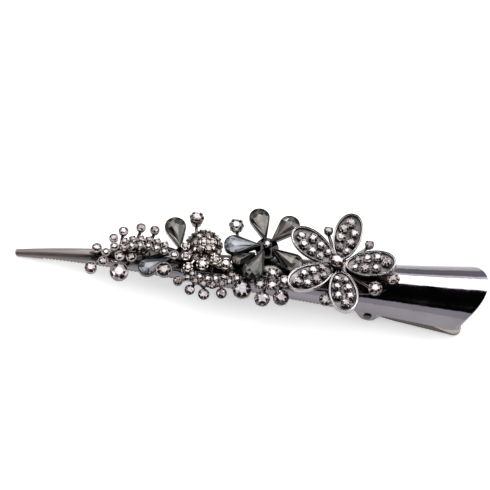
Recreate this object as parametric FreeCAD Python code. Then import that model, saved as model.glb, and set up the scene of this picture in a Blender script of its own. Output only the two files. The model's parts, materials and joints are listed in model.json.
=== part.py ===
import FreeCAD, Part
import math
import os

# Rhinestone hair clip: a long beak clip with a thumb lever, and a jewelled ornament on its back.
# All lengths are millimetres. x runs from the tip of the beak to the end of the thumb lever, y runs
# across, and z is the height above the plane that the upper jaw's edges lie in. The finished parts
# are turned a little, so that the clip stands on its beak and lower lever, and moved so that the
# origin is under the middle of the clip.

# --- driving dimensions: clip ---
CLIP_LENGTH = 137.2
TIP_HALF_WIDTH = 1.15
TAPER = 0.0635                # half-width gained per millimetre of length
FLARE_START = 100.0           # behind this the lever widens faster
FLARE = 0.0008
DROOP = 3.2                   # how far the beak's tip bends down
DROOP_END = 34.0              # where that bend has died out
SHEET = 0.6                   # sheet metal thickness
NOSE_SOLID = 1.5              # length of the pinched, solid nose
LEVER_END_CENTRE = 126.0      # centre of the elliptic end of the thumb lever
LEVER_END_HALF = 10.4
TOOTH_PITCH = 1.05
TOOTH_DEPTH = 0.45
TEETH_START = 8.5
UPPER_TEETH = 80

PIN_X = 104.0
PIN_Z = -1.5
PIN_RADIUS = 0.8
PIN_CLEARANCE = 0.05
PIN_HEAD_RADIUS = 1.2
PIN_HEAD_HEIGHT = 0.5
EAR_RADIUS = 2.7
EAR_FLARE = 3.7               # half the width of an ear where it leaves the jaw's edge

JAW_GAP = 0.4                 # between the lower jaw's walls and the inside of the upper jaw
LOWER_START = 2.2
LOWER_WALL = 0.5
WEB_DROP = 0.45               # the lower jaw's flat web stands this far out of the upper jaw
WEB_THICKNESS = 0.55
LOWER_TEETH = 84
CAVITY_START = 14.0
HINGE_FRONT = 99.0
WINDOW = (100.6, 107.4)       # opening in the web, round the spring
LEVER_SLOPE = 0.25            # fall of the lower lever per millimetre of length
LEVER_HALF_WIDTH = 7.2
LEVER_WIDE_AT = 112.0
LEVER_LENGTH_END = 131.5
LEVER_CORNER = 2.4             # radius of the two corners at the lower lever's end
LEVER_WALL_HEIGHT = 1.8

SPRING_WIRE = 0.35            # wire radius
SPRING_RADIUS = 1.4           # mean radius of the coil
SPRING_PITCH = 0.8
SPRING_SIDES = 16              # straight lengths in each turn
UPPER_LEG_ANGLE = 50.0
LOWER_LEG_ANGLE = -17.0
UPPER_LEG_LENGTH = 12.4
LOWER_LEG_LENGTH = 13.0

# --- driving dimensions: ornament ---
PLATE = 0.6                   # thickness of the soldered backing plate
PLATE_START = 22.0
PLATE_END = 112.0
CLAW = 0.42                   # width of a claw
CUP_WALL = 0.22
ARM = 0.5                     # radius of an arm that carries a setting
FAN = 1.2                     # degrees that a setting leans out per millimetre off the centre line
STONE_PLAY = 1.03             # seats are this much larger than their stones

X_AXIS = FreeCAD.Vector(1, 0, 0)
Y_AXIS = FreeCAD.Vector(0, 1, 0)
Z_AXIS = FreeCAD.Vector(0, 0, 1)


def vec(x, y, z):
    return FreeCAD.Vector(x, y, z)


def placed(shape, point, turn=0.0, lean=0.0, pitch=0.0):
    """A copy turned about its own z, pitched about y, leaned about x, then moved to point."""
    spin = FreeCAD.Rotation(Z_AXIS, turn)
    raise_up = FreeCAD.Rotation(Y_AXIS, pitch)
    tilt = FreeCAD.Rotation(X_AXIS, lean)
    move = FreeCAD.Placement(vec(*point), tilt.multiply(spin.multiply(raise_up)))
    result = shape.copy()
    result.Placement = move.multiply(result.Placement)
    return result


def fused(shapes):
    if len(shapes) == 1:
        return shapes[0]
    return shapes[0].multiFuse(shapes[1:])


def prism(wire, low, high):
    """A flat wire lying in z = 0, extruded from low to high."""
    face = Part.Face(wire)
    face.translate(vec(0, 0, low))
    return face.extrude(vec(0, 0, high - low))


# --- the shape of the jaws ---

def half_width(x):
    return TIP_HALF_WIDTH + TAPER * x + FLARE * max(0.0, x - FLARE_START) ** 2


def edge_height(x):
    """Height of the upper jaw's edges: level, then bending down towards the tip."""
    return -DROOP * max(0.0, 1 - x / DROOP_END) ** 2


def crown(x):
    return edge_height(x) + half_width(x)


def arch_section(x, offset, leg):
    """A closed section of the upper jaw: half a circle on two straight legs."""
    w = half_width(x) + offset
    z = edge_height(x)
    low = z - leg
    arc = Part.Arc(vec(x, -w, z), vec(x, 0, z + w), vec(x, w, z)).toShape()
    down = Part.makeLine(vec(x, w, z), vec(x, w, low))
    base = Part.makeLine(vec(x, w, low), vec(x, -w, low))
    up = Part.makeLine(vec(x, -w, low), vec(x, -w, z))
    return Part.Wire([arc, down, base, up])


def arch_loft(stations, offset, leg):
    return Part.makeLoft([arch_section(x, offset, leg) for x in stations], True)


STATIONS = [-1.0, 3.0, 8.0, 14.0, 22.0, 34.0, 60.0, 84.0, 100.0, 112.0, 124.0, 138.0]


def profile(points_and_arcs, depth=30.0):
    """A side view outline in x and z, extruded right across the clip. Each entry is a point, or a
    pair of points: the middle and the end of an arc."""
    edges = []
    start = points_and_arcs[0]
    last = start
    for entry in points_and_arcs[1:] + [start]:
        if isinstance(entry[0], tuple):
            middle, end = entry
            edges.append(Part.Arc(vec(last[0], 0, last[1]), vec(middle[0], 0, middle[1]),
                                  vec(end[0], 0, end[1])).toShape())
        else:
            end = entry
            edges.append(Part.makeLine(vec(last[0], 0, last[1]), vec(end[0], 0, end[1])))
        last = end
    face = Part.Face(Part.Wire(edges))
    face.translate(vec(0, -depth / 2, 0))
    return face.extrude(vec(0, depth, 0))


def zigzag(start, count, level, depth):
    """Teeth along a line whose height is level(x): a valley of the given depth between tips."""
    points = []
    for i in range(count):
        x = start + i * TOOTH_PITCH
        points.append((x, level(x)))
        points.append((x + TOOTH_PITCH / 2, level(x + TOOTH_PITCH / 2) + depth))
    end = start + count * TOOTH_PITCH
    points.append((end, level(end)))
    return points


def pin_hole():
    hole = Part.makeCylinder(PIN_RADIUS + PIN_CLEARANCE, 30, vec(PIN_X, -15, PIN_Z), Y_AXIS)
    return hole


def make_upper_jaw():
    """The long arched beak with toothed edges, hinge ears and the wide thumb lever, in one sheet."""
    outside = arch_loft(STATIONS, 0, 6)
    inside = arch_loft([NOSE_SOLID] + [x for x in STATIONS if x > NOSE_SOLID], -SHEET, 7)
    shell = outside.cut(inside)

    ear_low = PIN_Z - EAR_RADIUS
    ear_side = EAR_RADIUS * 0.94
    outline = [(-2, 20), (-2, edge_height(-2)), (0, edge_height(0)), (4, edge_height(4))]
    outline += zigzag(TEETH_START, UPPER_TEETH, edge_height, TOOTH_DEPTH)
    outline += [(PIN_X - EAR_FLARE, 0), (PIN_X - ear_side, PIN_Z - 0.8),
                ((PIN_X, ear_low), (PIN_X + ear_side, PIN_Z - 0.8)),
                (PIN_X + EAR_FLARE + 0.5, 0), (CLIP_LENGTH + 2, 0), (CLIP_LENGTH + 2, 20)]
    shell = shell.common(profile(outline))

    reach = CLIP_LENGTH - LEVER_END_CENTRE
    half_end = LEVER_END_HALF
    end = Part.Ellipse(vec(LEVER_END_CENTRE, 0, 0), reach, half_end)
    # the ellipse's own x axis is the clip's, so its first quarter ends on the clip's far side
    arc = end.toShape(-math.pi / 2, math.pi / 2)
    nose = TIP_HALF_WIDTH * 1.05
    wide = 14.0
    plan = Part.Wire([
        Part.Arc(vec(nose, nose, 0), vec(0, 0, 0), vec(nose, -nose, 0)).toShape(),
        Part.makeLine(vec(nose, -nose, 0), vec(nose, -wide, 0)),
        Part.makeLine(vec(nose, -wide, 0), vec(LEVER_END_CENTRE, -wide, 0)),
        Part.makeLine(vec(LEVER_END_CENTRE, -wide, 0), vec(LEVER_END_CENTRE, -half_end, 0)),
        arc,
        Part.makeLine(vec(LEVER_END_CENTRE, half_end, 0), vec(LEVER_END_CENTRE, wide, 0)),
        Part.makeLine(vec(LEVER_END_CENTRE, wide, 0), vec(nose, wide, 0)),
        Part.makeLine(vec(nose, wide, 0), vec(nose, nose, 0)),
    ])
    shell = shell.common(prism(plan, -12, 20))
    return shell.cut(pin_hole())


def lower_plan(inset):
    """Plan outline of the lower jaw and its lever."""
    def half(x):
        return half_width(x) - SHEET - JAW_GAP - inset
    start = LOWER_START if inset == 0 else CAVITY_START
    tail = LEVER_HALF_WIDTH - inset
    radius = LEVER_CORNER - 0.5 * inset
    corner = LEVER_LENGTH_END - inset - radius
    points = [(start, -half(start)), (HINGE_FRONT, -half(HINGE_FRONT)),
              (LEVER_WIDE_AT, -tail), (corner, -tail)]
    edges = []

    def run(corners):
        for (x0, y0), (x1, y1) in zip(corners, corners[1:]):
            edges.append(Part.makeLine(vec(x0, y0, 0), vec(x1, y1, 0)))

    def bend(side, first, last):
        middle = vec(corner, side * (tail - radius), 0)
        arc = [middle + vec(math.cos(a), math.sin(a), 0) * radius
               for a in (math.radians(first), math.radians((first + last) / 2), math.radians(last))]
        edges.append(Part.Arc(*arc).toShape())

    run(points)
    bend(-1, -90, 0)
    run([(corner + radius, -tail + radius), (corner + radius, tail - radius)])
    bend(1, 0, 90)
    run([(x, -y) for x, y in reversed(points)] + [points[0]])
    return Part.Wire(edges)


def lever_bottom(x):
    return -WEB_DROP - (x - HINGE_FRONT) * LEVER_SLOPE


def make_lower_jaw():
    """The toothed lower jaw, nested in the upper one, with inner ears and the lower lever."""
    body = prism(lower_plan(0), -12, 6)

    def wall_top(x):
        return edge_height(x) + 0.15 + 0.012 * x - TOOTH_DEPTH

    lever_tail = lever_bottom(LEVER_LENGTH_END)
    droop_steps = [2, 5, 9, 14, 20, 27]
    bottom = [(0, edge_height(0) - WEB_DROP)] + [(x, edge_height(x) - WEB_DROP) for x in droop_steps]
    beyond = LEVER_LENGTH_END + 1
    bottom += [(DROOP_END, -WEB_DROP), (HINGE_FRONT, -WEB_DROP), (beyond, lever_bottom(beyond))]
    teeth = zigzag(LOWER_START + 2, LOWER_TEETH, wall_top, TOOTH_DEPTH)
    top = [(beyond, lever_tail + WEB_THICKNESS), (LEVER_LENGTH_END - 2, lever_tail + 1.1),
           (LEVER_LENGTH_END - 8, lever_bottom(LEVER_LENGTH_END - 8) + WEB_THICKNESS + LEVER_WALL_HEIGHT),
           (PIN_X + 4, -0.6), (PIN_X - 3, 0.7)]
    top += list(reversed(teeth)) + [(0, wall_top(0))]
    side = profile(bottom + top)
    lobe = Part.makeCylinder(EAR_RADIUS - 0.1, 30, vec(PIN_X, -15, PIN_Z), Y_AXIS)
    body = body.common(side.fuse(lobe))

    floor = [(CAVITY_START - 1, edge_height(CAVITY_START - 1) + WEB_THICKNESS - WEB_DROP)]
    floor += [(x, edge_height(x) + WEB_THICKNESS - WEB_DROP) for x in (20, 27)]
    floor += [(DROOP_END, WEB_THICKNESS - WEB_DROP), (HINGE_FRONT, WEB_THICKNESS - WEB_DROP),
              (LEVER_LENGTH_END + 2, lever_bottom(LEVER_LENGTH_END + 2) + WEB_THICKNESS),
              (LEVER_LENGTH_END + 2, 8), (CAVITY_START - 1, 8)]
    cavity = prism(lower_plan(LOWER_WALL), -12, 7).common(profile(floor))
    body = body.cut(cavity)

    inner = half_width(WINDOW[0]) - SHEET - JAW_GAP - LOWER_WALL
    window = Part.makeBox(WINDOW[1] - WINDOW[0], 2 * inner, 12, vec(WINDOW[0], -inner, -6))
    return body.cut(window).cut(pin_hole())


def make_hinge_pin():
    """A plain pin with a rounded, peened head on each outer ear."""
    face = half_width(PIN_X + PIN_HEAD_RADIUS) + 0.02
    rod = Part.makeCylinder(PIN_RADIUS, 2 * face, vec(PIN_X, -face, PIN_Z), Y_AXIS)
    heads = []
    for side in (-1, 1):
        seat = vec(PIN_X, side * face, PIN_Z)
        disc = Part.makeCylinder(PIN_HEAD_RADIUS, PIN_HEAD_HEIGHT, seat, Y_AXIS * side)
        rim = [e for e in disc.Edges if abs(abs(e.CenterOfMass.y) - face - PIN_HEAD_HEIGHT) < 0.01]
        heads.append(disc.makeFillet(0.3, rim))
    return fused([rod] + heads)


def make_spring():
    """A torsion coil round the pin. One leg presses up under the thumb lever, the other down on the
    lower lever."""
    start = 90 + LOWER_LEG_ANGLE
    turns = (360 * 6 + UPPER_LEG_ANGLE - 90 - start) / 360
    height = turns * SPRING_PITCH
    steps = round(turns * SPRING_SIDES)

    def on_coil(step):
        a = math.radians(start + 360 * turns * step / steps)
        return vec(PIN_X + SPRING_RADIUS * math.cos(a), height * (0.5 - step / steps),
                   PIN_Z + SPRING_RADIUS * math.sin(a))

    def leg_end(root, direction, length):
        d = math.radians(direction)
        return root + vec(math.cos(d), 0, math.sin(d)) * length

    points = [on_coil(step) for step in range(steps + 1)]
    points.insert(0, leg_end(points[0], LOWER_LEG_ANGLE, LOWER_LEG_LENGTH))
    points.append(leg_end(points[-1], UPPER_LEG_ANGLE, UPPER_LEG_LENGTH))
    wire = Part.Wire(Part.makeCircle(SPRING_WIRE, points[0], points[1] - points[0]))
    return Part.makePolygon(points).makePipeShell([wire], True, False, 2)


def make_backing_plate():
    """A curved strip that follows the crown and carries the ornament's arms and posts."""
    above = arch_loft([x for x in STATIONS if 14 <= x <= 124], PLATE, 1)
    below = arch_loft([x for x in STATIONS if 8 <= x], 0.01, 2)
    points = [(PLATE_START, 0.0), (30, -1.9), (50, -2.9), (75, -3.9), (97, -5.0), (108, -3.8),
              (PLATE_END, 0)]
    near = Part.BSplineCurve()
    near.interpolate([vec(x, y, 0) for x, y in points])
    far = Part.BSplineCurve()
    far.interpolate([vec(x, -y, 0) for x, y in reversed(points)])
    plan = Part.Wire([near.toShape(), far.toShape()])
    return above.cut(below).common(prism(plan, 0, 20))


# --- stones and their settings, each made once at its own origin ---

def polyhedron(faces):
    shell = Part.Shell([Part.Face(Part.makePolygon(list(f) + [f[0]])) for f in faces])
    solid = Part.Solid(shell)
    if solid.Volume < 0:
        solid.reverse()
    return solid


def ring(radius, height, count=8, shift=0.0):
    points = []
    for i in range(count):
        a = 2 * math.pi * (i + shift) / count
        points.append(vec(radius * math.cos(a), radius * math.sin(a), height))
    return points


def banded(rings, split=False):
    """A solid from rings with the same number of corners, one above the other, with flat ends.
    split cuts each side facet in two, for rings whose facets would not be flat."""
    faces = [list(reversed(rings[0])), rings[-1]]
    count = len(rings[0])
    for low, high in zip(rings, rings[1:]):
        for i in range(count):
            j = (i + 1) % count
            if split:
                faces.append([low[i], low[j], high[j]])
                faces.append([low[i], high[j], high[i]])
            else:
                faces.append([low[i], low[j], high[j], high[i]])
    return polyhedron(faces)


CROWN_HEIGHT = 0.17           # all as shares of a stone's diameter
GIRDLE = 0.03
PAVILION = 0.28
TABLE = 0.30
CULET = 0.16


def round_stone(d, play=1.0):
    """A faceted round stone with its girdle at z = 0."""
    d = d * play
    return banded([ring(CULET * d, -PAVILION * d), ring(d / 2, -GIRDLE * d),
                   ring(d / 2, GIRDLE * d), ring(TABLE * d, CROWN_HEIGHT * d)])


def claw(d):
    """One claw: up the outside of the cup and bent in over the stone's crown."""
    r = d / 2
    out = r + CUP_WALL + 0.08
    points = [(r + 0.05, -0.3 * d), (out, -0.3 * d), (out, 0.08 * d), (0.88 * r, 0.20 * d),
              (0.82 * r, 0.14 * d), (r + 0.05, 0.06 * d)]
    face = Part.Face(Part.makePolygon([vec(x, -CLAW / 2, z) for x, z in points + points[:1]]))
    return face.extrude(vec(0, CLAW, 0))


def cup(d, depth, rim):
    """A tapered cup for a stone of diameter d: depth below the girdle, rim above it."""
    r = d / 2
    outer = r + CUP_WALL
    base = outer * 0.72
    floor = -PAVILION * d - 0.04
    points = [(0, -depth), (base, -depth), (outer, -depth * 0.35), (outer, rim), (r + 0.04, rim),
              (r + 0.04, -GIRDLE * d - 0.04), (CULET * d + 0.08, floor), (0, floor)]
    face = Part.Face(Part.makePolygon([vec(x, 0, z) for x, z in points + points[:1]]))
    return face.revolve(vec(0, 0, 0), Z_AXIS, 360)


def claw_setting(d, depth, claws=4):
    shapes = [cup(d, depth, -0.02)]
    for i in range(claws):
        prong = claw(d)
        prong.rotate(vec(0, 0, 0), Z_AXIS, 360 * (i + 0.5) / claws)
        shapes.append(prong)
    return fused(shapes)


def bezel_setting(d, depth):
    return cup(d, depth, 0.06 * d)


def drop_outline(length, width, grow, height=0.0):
    """A teardrop: round head, straight sides, narrow tip at the origin, head along +x."""
    head = width / 2
    centre = length - head
    tip = 0.35
    # angle on the head where its tangent runs to the tip's own small circle
    lean = math.acos((head - tip) / (centre - tip))
    r0 = tip + grow
    r1 = head + grow

    def on(cx, r, a):
        return vec(cx + r * math.cos(a), r * math.sin(a), height)

    half = math.pi - lean
    return Part.Wire([
        Part.Arc(on(tip, r0, half), on(tip, r0, math.pi), on(tip, r0, -half)).toShape(),
        Part.makeLine(on(tip, r0, -half), on(centre, r1, -half)),
        Part.Arc(on(centre, r1, -half), on(centre, r1, 0), on(centre, r1, half)).toShape(),
        Part.makeLine(on(centre, r1, half), on(tip, r0, half)),
    ])


DROP_WALL = 0.4
DROP_LOW = -1.3
DROP_RIM = 0.45
DROP_PLAY = 0.06


def drop_bezel(length, width):
    """The deep, closed-back frame of a teardrop crystal."""
    outside = prism(drop_outline(length, width, 0), DROP_LOW, DROP_RIM)
    hollow = prism(drop_outline(length, width, -DROP_WALL * 0.6), DROP_LOW + 0.3, DROP_RIM + 1)
    return outside.cut(hollow)


def drop_ring(length, width, inset, height):
    """Corners of a teardrop crystal: six round the head and two down each side."""
    head = width / 2 - inset
    centre = length - width / 2
    points = []
    for degrees in (-100, -60, -20, 20, 60, 100):
        a = math.radians(degrees)
        points.append(vec(centre + head * math.cos(a), head * math.sin(a), height))
    tip_x = 0.9 + 1.9 * inset
    tip_half = 0.12
    for share in (0.5, 1.0):
        x = points[5].x + (tip_x - points[5].x) * share
        y = points[5].y + (tip_half - points[5].y) * share
        points.append(vec(x, y, height))
    for point in reversed(points[6:8]):
        points.append(vec(point.x, -point.y, height))
    return points


def drop_crystal(length, width):
    """A faceted teardrop with a flat table."""
    inset = DROP_WALL * 0.6 + DROP_PLAY
    return banded([drop_ring(length, width, inset + 0.9, -0.85), drop_ring(length, width, inset, 0.1),
                   drop_ring(length, width, inset, 0.3), drop_ring(length, width, inset + 0.95, 1.0)],
                  split=True)


PETAL_LENGTH = 14.6
PETAL_WIDTH = 8.4
PETAL_BASE = 2.2
PETAL_RIM = 1.3
PETAL_GIRDLE = 1.45
PETAL_STONES = [(13.9, 0.1, 2.8), (11.6, 1.7, 2.7), (10.9, -1.6, 2.7), (8.6, 1.6, 2.6), (7.8, -1.5, 2.6),
                (5.8, 1.25, 2.1), (5.0, -1.1, 2.1)]


def petal_outline(inset, height=0.0):
    """An egg-shaped outline from the flower's middle outwards along +x."""
    half = PETAL_WIDTH / 2
    end = PETAL_BASE + PETAL_LENGTH
    shape = [(PETAL_BASE, 0), (3.3, 0.47), (7.0, 0.84), (11.2, 1.0), (14.6, 0.77), (end, 0)]
    middle = PETAL_BASE + PETAL_LENGTH / 2
    sx = 1 - 2 * inset / PETAL_LENGTH
    sy = 1 - 2 * inset / PETAL_WIDTH
    one_side = [(middle + (x - middle) * sx, half * y * sy) for x, y in shape]
    other_side = [(x, -y) for x, y in reversed(one_side[1:-1])]
    curve = Part.BSplineCurve()
    curve.interpolate([vec(x, y, height) for x, y in one_side + other_side], PeriodicFlag=True)
    return Part.Wire(curve.toShape())


def pave_collar(x, y, d, floor, girdle):
    """A low collar with four claws for a small stone, standing on a floor."""
    setting = [cup(d, girdle - floor + 0.1, -0.02)]
    for i in range(4):
        prong = claw(d)
        prong.rotate(vec(0, 0, 0), Z_AXIS, 90 * i + 20)
        setting.append(prong)
    return [placed(s, (x, y, girdle)) for s in setting]


def dish_petal():
    """A shallow dish with a double rim and the collars of its stones."""
    dish = prism(petal_outline(0), 0, PETAL_RIM)
    dish = dish.cut(prism(petal_outline(0.35), 0.8, 3))
    dish = dish.fuse(prism(petal_outline(0.62), 0.7, PETAL_RIM - 0.15))
    dish = dish.cut(prism(petal_outline(0.9), 0.5, 3))
    collars = []
    for x, y, d in PETAL_STONES:
        collars += pave_collar(x, y, d, 0.5, PETAL_GIRDLE)
    return fused([dish] + collars)


def petal_stones():
    return [placed(round_stone(d), (x, y, PETAL_GIRDLE)) for x, y, d in PETAL_STONES]


# --- building the ornament ---

def arm(start, end, radius=ARM):
    """A round arm between two points, with a rounded end."""
    a = vec(*start)
    b = vec(*end)
    rod = Part.makeCylinder(radius, (b - a).Length, a, b - a)
    return rod.fuse(Part.makeSphere(radius, b))


def chain(points, radius=ARM):
    """Arms from point to point."""
    return [arm(a, b, radius) for a, b in zip(points, points[1:])]


def on_plate(x, y):
    """A point just above the backing plate, for the foot of an arm."""
    r = half_width(x) + PLATE + 0.25
    return (x, y, edge_height(x) + math.sqrt(r * r - y * y))


MADE = {}


def once(maker, *sizes):
    """The shape that maker gives for these sizes, made only the first time."""
    key = (maker.__name__,) + sizes
    if key not in MADE:
        MADE[key] = maker(*sizes)
    return MADE[key]


class Cluster:
    """Metal that is cast or soldered into one frame, and the stones that sit in it."""

    def __init__(self):
        self.metal = []
        self.gems = []
        self.seats = []

    def seat(self, setting, x, y, z, d, foot=None, turn=0.0, lean=None, pitch=0.0, depth=None):
        """Adds a setting with its stone. foot is where its arm starts: two numbers for a point on
        the plate, three for a point in space."""
        lean = -FAN * y if lean is None else lean
        depth = depth or 0.6 * d
        where = dict(turn=turn, lean=lean, pitch=pitch)
        self.metal.append(placed(once(setting, d, depth), (x, y, z), **where))
        self.gems.append(placed(once(round_stone, d), (x, y, z), **where))
        self.seats.append(placed(once(round_stone, d, STONE_PLAY), (x, y, z), **where))
        if foot is not None:
            start = on_plate(*foot) if len(foot) == 2 else foot
            tilted = FreeCAD.Placement(vec(x, y, z), FreeCAD.Rotation(X_AXIS, lean))
            under = tilted.multVec(vec(0, 0, -0.8 * depth))
            self.metal.append(arm(start, (under.x, under.y, under.z)))

    def frame(self, others):
        """The frame: all the metal, less what the stones and the other pieces take."""
        return fused(self.metal).cut(others + self.seats)


def spine(feet, radius=ARM):
    """A wire along the backing plate that joins the feet of a cluster's arms."""
    return chain([on_plate(x, y) for x, y in feet], radius)


def tip_spray():
    """Bezel-set stones scattered over the front of the ornament."""
    stones = [
        (24.1, 0.4, 4.9, 2.6, 25.5, 0.3), (23.3, -6.1, 4.5, 3.2, 26.5, -0.6),
        (26.6, -4.0, 5.4, 2.5, 27.5, -0.6), (27.0, -1.2, 5.9, 2.1, 28.0, -0.3),
        (28.6, 3.5, 6.4, 2.3, 29.5, 0.5), (31.1, 6.1, 6.5, 2.5, 30.5, 0.7),
        (29.2, 0.6, 6.6, 2.2, 29.5, 0.2), (31.9, 1.6, 7.2, 2.2, 31.5, 0.4),
        (36.0, 7.7, 7.0, 2.4, 34.5, 1.0), (40.1, 7.1, 7.5, 2.4, 38.5, 1.0),
        (31.3, -2.4, 6.8, 2.6, 31.0, -0.4), (34.6, -2.6, 7.4, 2.6, 34.0, -0.4),
    ]
    group = Cluster()
    for x, y, z, d, foot_x, foot_y in stones:
        group.seat(bezel_setting, x, y, z, d, foot=(foot_x, foot_y))
    group.metal += spine([(25.5, 0.3), (27.5, -0.5), (29.5, 0.3), (31.0, 0.3), (34.5, 0.6), (38.5, 0.9)])
    group.metal += spine([(31.0, 0.3), (34.0, -0.5)])
    return group


LEAF_LINE = [
    (32.2, 0.0, 9.5), (34.4, 0.7, 10.0), (36.8, 0.9, 10.4), (39.2, 0.9, 10.55), (41.6, 0.5, 10.55),
    (43.9, -0.2, 10.5),
]


def pave_leaf():
    """A curved leaf of two rows of small stones, ending in a larger one over the small flower."""
    group = Cluster()
    for across in (-1.05, 1.05):
        row = [(x, y + across, z - 0.8) for x, y, z in LEAF_LINE]
        group.metal += chain(row, 0.55)
        for x, y, z in LEAF_LINE:
            group.seat(claw_setting, x, y + across, z, 1.75, turn=20, depth=0.9)
    group.seat(bezel_setting, 46.9, -2.0, 10.3, 2.2, foot=(43.9, -0.8, 9.8))
    for x, y, z in LEAF_LINE:
        group.metal.append(arm((x, y - 1.05, z - 0.8), (x, y + 1.05, z - 0.8)))
    for x, y, z, foot_x, foot_y in ((32.2, 0.0, 8.6, 33.0, 0.9), (34.4, 1.7, 8.9, 36.0, 1.3)):
        group.metal.append(arm(on_plate(foot_x, foot_y), (x, y, z)))
    return group


def near_stones():
    """The two big round stones on the near side of the front."""
    group = Cluster()
    group.seat(bezel_setting, 31.7, -7.2, 6.0, 5.0, foot=(35.0, -1.2), depth=2.2)
    group.seat(bezel_setting, 44.5, -5.7, 7.6, 4.1, foot=(48.0, -2.0), depth=2.0)
    group.metal += spine([(35.0, -1.2), (40.0, -1.6), (48.0, -2.0)], 0.3)
    return group


SMALL_FLOWER = (48.6, 0.8)
# name, direction in degrees, height, distance of the tip from the middle, length and width
SMALL_PETALS = [
    ("far", 109, 8.0, 1.0, 10.4, 6.2),
    ("middle", 184, 8.0, 1.0, 10.8, 5.2),
    ("near", 210, 5.9, 3.2, 10.0, 5.4),
]
SMOKY_FLOWER = (73.0, 4.8)
SMOKY_PETALS = [
    ("right", 54, 10.0, 1.8, 10.8, 6.0),
    ("far", 110, 10.0, 1.8, 10.8, 6.0),
    ("left", 185, 10.0, 1.8, 10.6, 6.0),
    ("under", 207, 7.6, 3.5, 7.4, 4.4),
    ("near", 250, 10.0, 1.8, 10.4, 6.0),
    ("inner", 330, 10.0, 1.8, 10.4, 6.0),
]


def flower_petals(centre, petals):
    """Each teardrop petal's name with its bezel and its crystal."""
    result = []
    for name, direction, height, start, length, width in petals:
        a = math.radians(direction)
        tip = (centre[0] + start * math.cos(a), centre[1] + start * math.sin(a), height)
        result.append((name, placed(drop_bezel(length, width), tip, turn=direction),
                       placed(drop_crystal(length, width), tip, turn=direction)))
    return result


def hub(centre, radius, low, high, post):
    """A flower's round back disc on a post that stands on the plate."""
    x, y = centre
    disc = Part.makeCylinder(radius, high - low, vec(x, y, low))
    foot = Part.makeCylinder(post, low - crown(x) + 3, vec(x, y, crown(x) - 3))
    return [disc, foot]


def small_flower_hub():
    """The small flower's hub; its near petal stands on the plate by itself."""
    group = Cluster()
    group.metal = hub(SMALL_FLOWER, 2.0, 5.9, 6.68, 1.0)
    return group


def smoky_flower_hub():
    """The big crystal flower's hub with its small claw-set middle stone."""
    group = Cluster()
    x, y = SMOKY_FLOWER
    group.metal = hub(SMOKY_FLOWER, 3.4, 7.8, 8.68, 1.3)
    group.seat(claw_setting, x, y, 11.3, 2.2, lean=0, depth=2.7)
    group.metal.append(arm((x, y, 5.89), (x - 7.4, y - 3.8, 5.89), 0.4))
    return group


def far_stone():
    """A tall stone beyond the crystal flower, tied to its petals' hub."""
    group = Cluster()
    group.seat(claw_setting, 63.4, 10.8, 9.5, 3.7, lean=-4, foot=(66.0, 2.4), depth=2.4)
    return group


DOME = (54.9, 3.4)
DOME_BASE = 5.2
DOME_LOW = 7.0
DOME_TOP = 10.2


def dome_cluster():
    """A pave dome with stones of several sizes round it."""
    group = Cluster()
    x, y = DOME
    rise = DOME_TOP - DOME_LOW
    radius = (DOME_BASE ** 2 + rise ** 2) / (2 * rise)
    ball = Part.makeSphere(radius, vec(x, y, DOME_TOP - radius))
    group.metal.append(ball.common(Part.makeBox(30, 30, 30, vec(x - 15, y - 15, DOME_LOW))))
    group.metal.append(Part.makeCylinder(2.2, 4, vec(x, y - 1.5, DOME_LOW - 3.8)))
    for count, out, d in ((1, 0.0, 2.0), (6, 2.3, 2.0), (12, 4.35, 1.95)):
        for i in range(count):
            around = 360 * i / count + 10
            tilt = math.degrees(math.asin(out / radius))
            lift = 0.45
            reach = out + lift * math.sin(math.radians(tilt))
            height = DOME_TOP - radius + (radius + lift) * math.cos(math.radians(tilt))
            a = math.radians(around)
            group.seat(claw_setting, x + reach * math.cos(a), y + reach * math.sin(a), height, d,
                       turn=around, lean=0, pitch=tilt, depth=0.8)
    beside = [
        (51.7, 12.1, 9.0, 3.6, (52.6, 3.5, 7.6), 2.8), (55.3, -3.1, 9.0, 3.0, (55.0, -1.0, 7.3), 2.0),
        (58.9, -1.6, 9.9, 2.5, (56.5, 0.0, 7.4), 2.0), (61.9, -2.1, 9.2, 3.1, (60.0, -1.6), 2.6),
        (51.3, -4.6, 9.0, 2.3, (53.0, -0.8, 7.5), 1.4),
        (49.7, 1.5, 10.1, 2.0, (51.5, 2.4, 7.6), 1.3), (50.3, -1.6, 9.8, 2.0, (52.0, 0.6, 7.4), 1.3),
    ]
    group.metal += spine([(60.0, -1.6), (55.0, 0.5)])
    for sx, sy, sz, d, foot, depth in beside:
        group.seat(claw_setting, sx, sy, sz, d, foot=foot, depth=depth)
    return group


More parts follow.
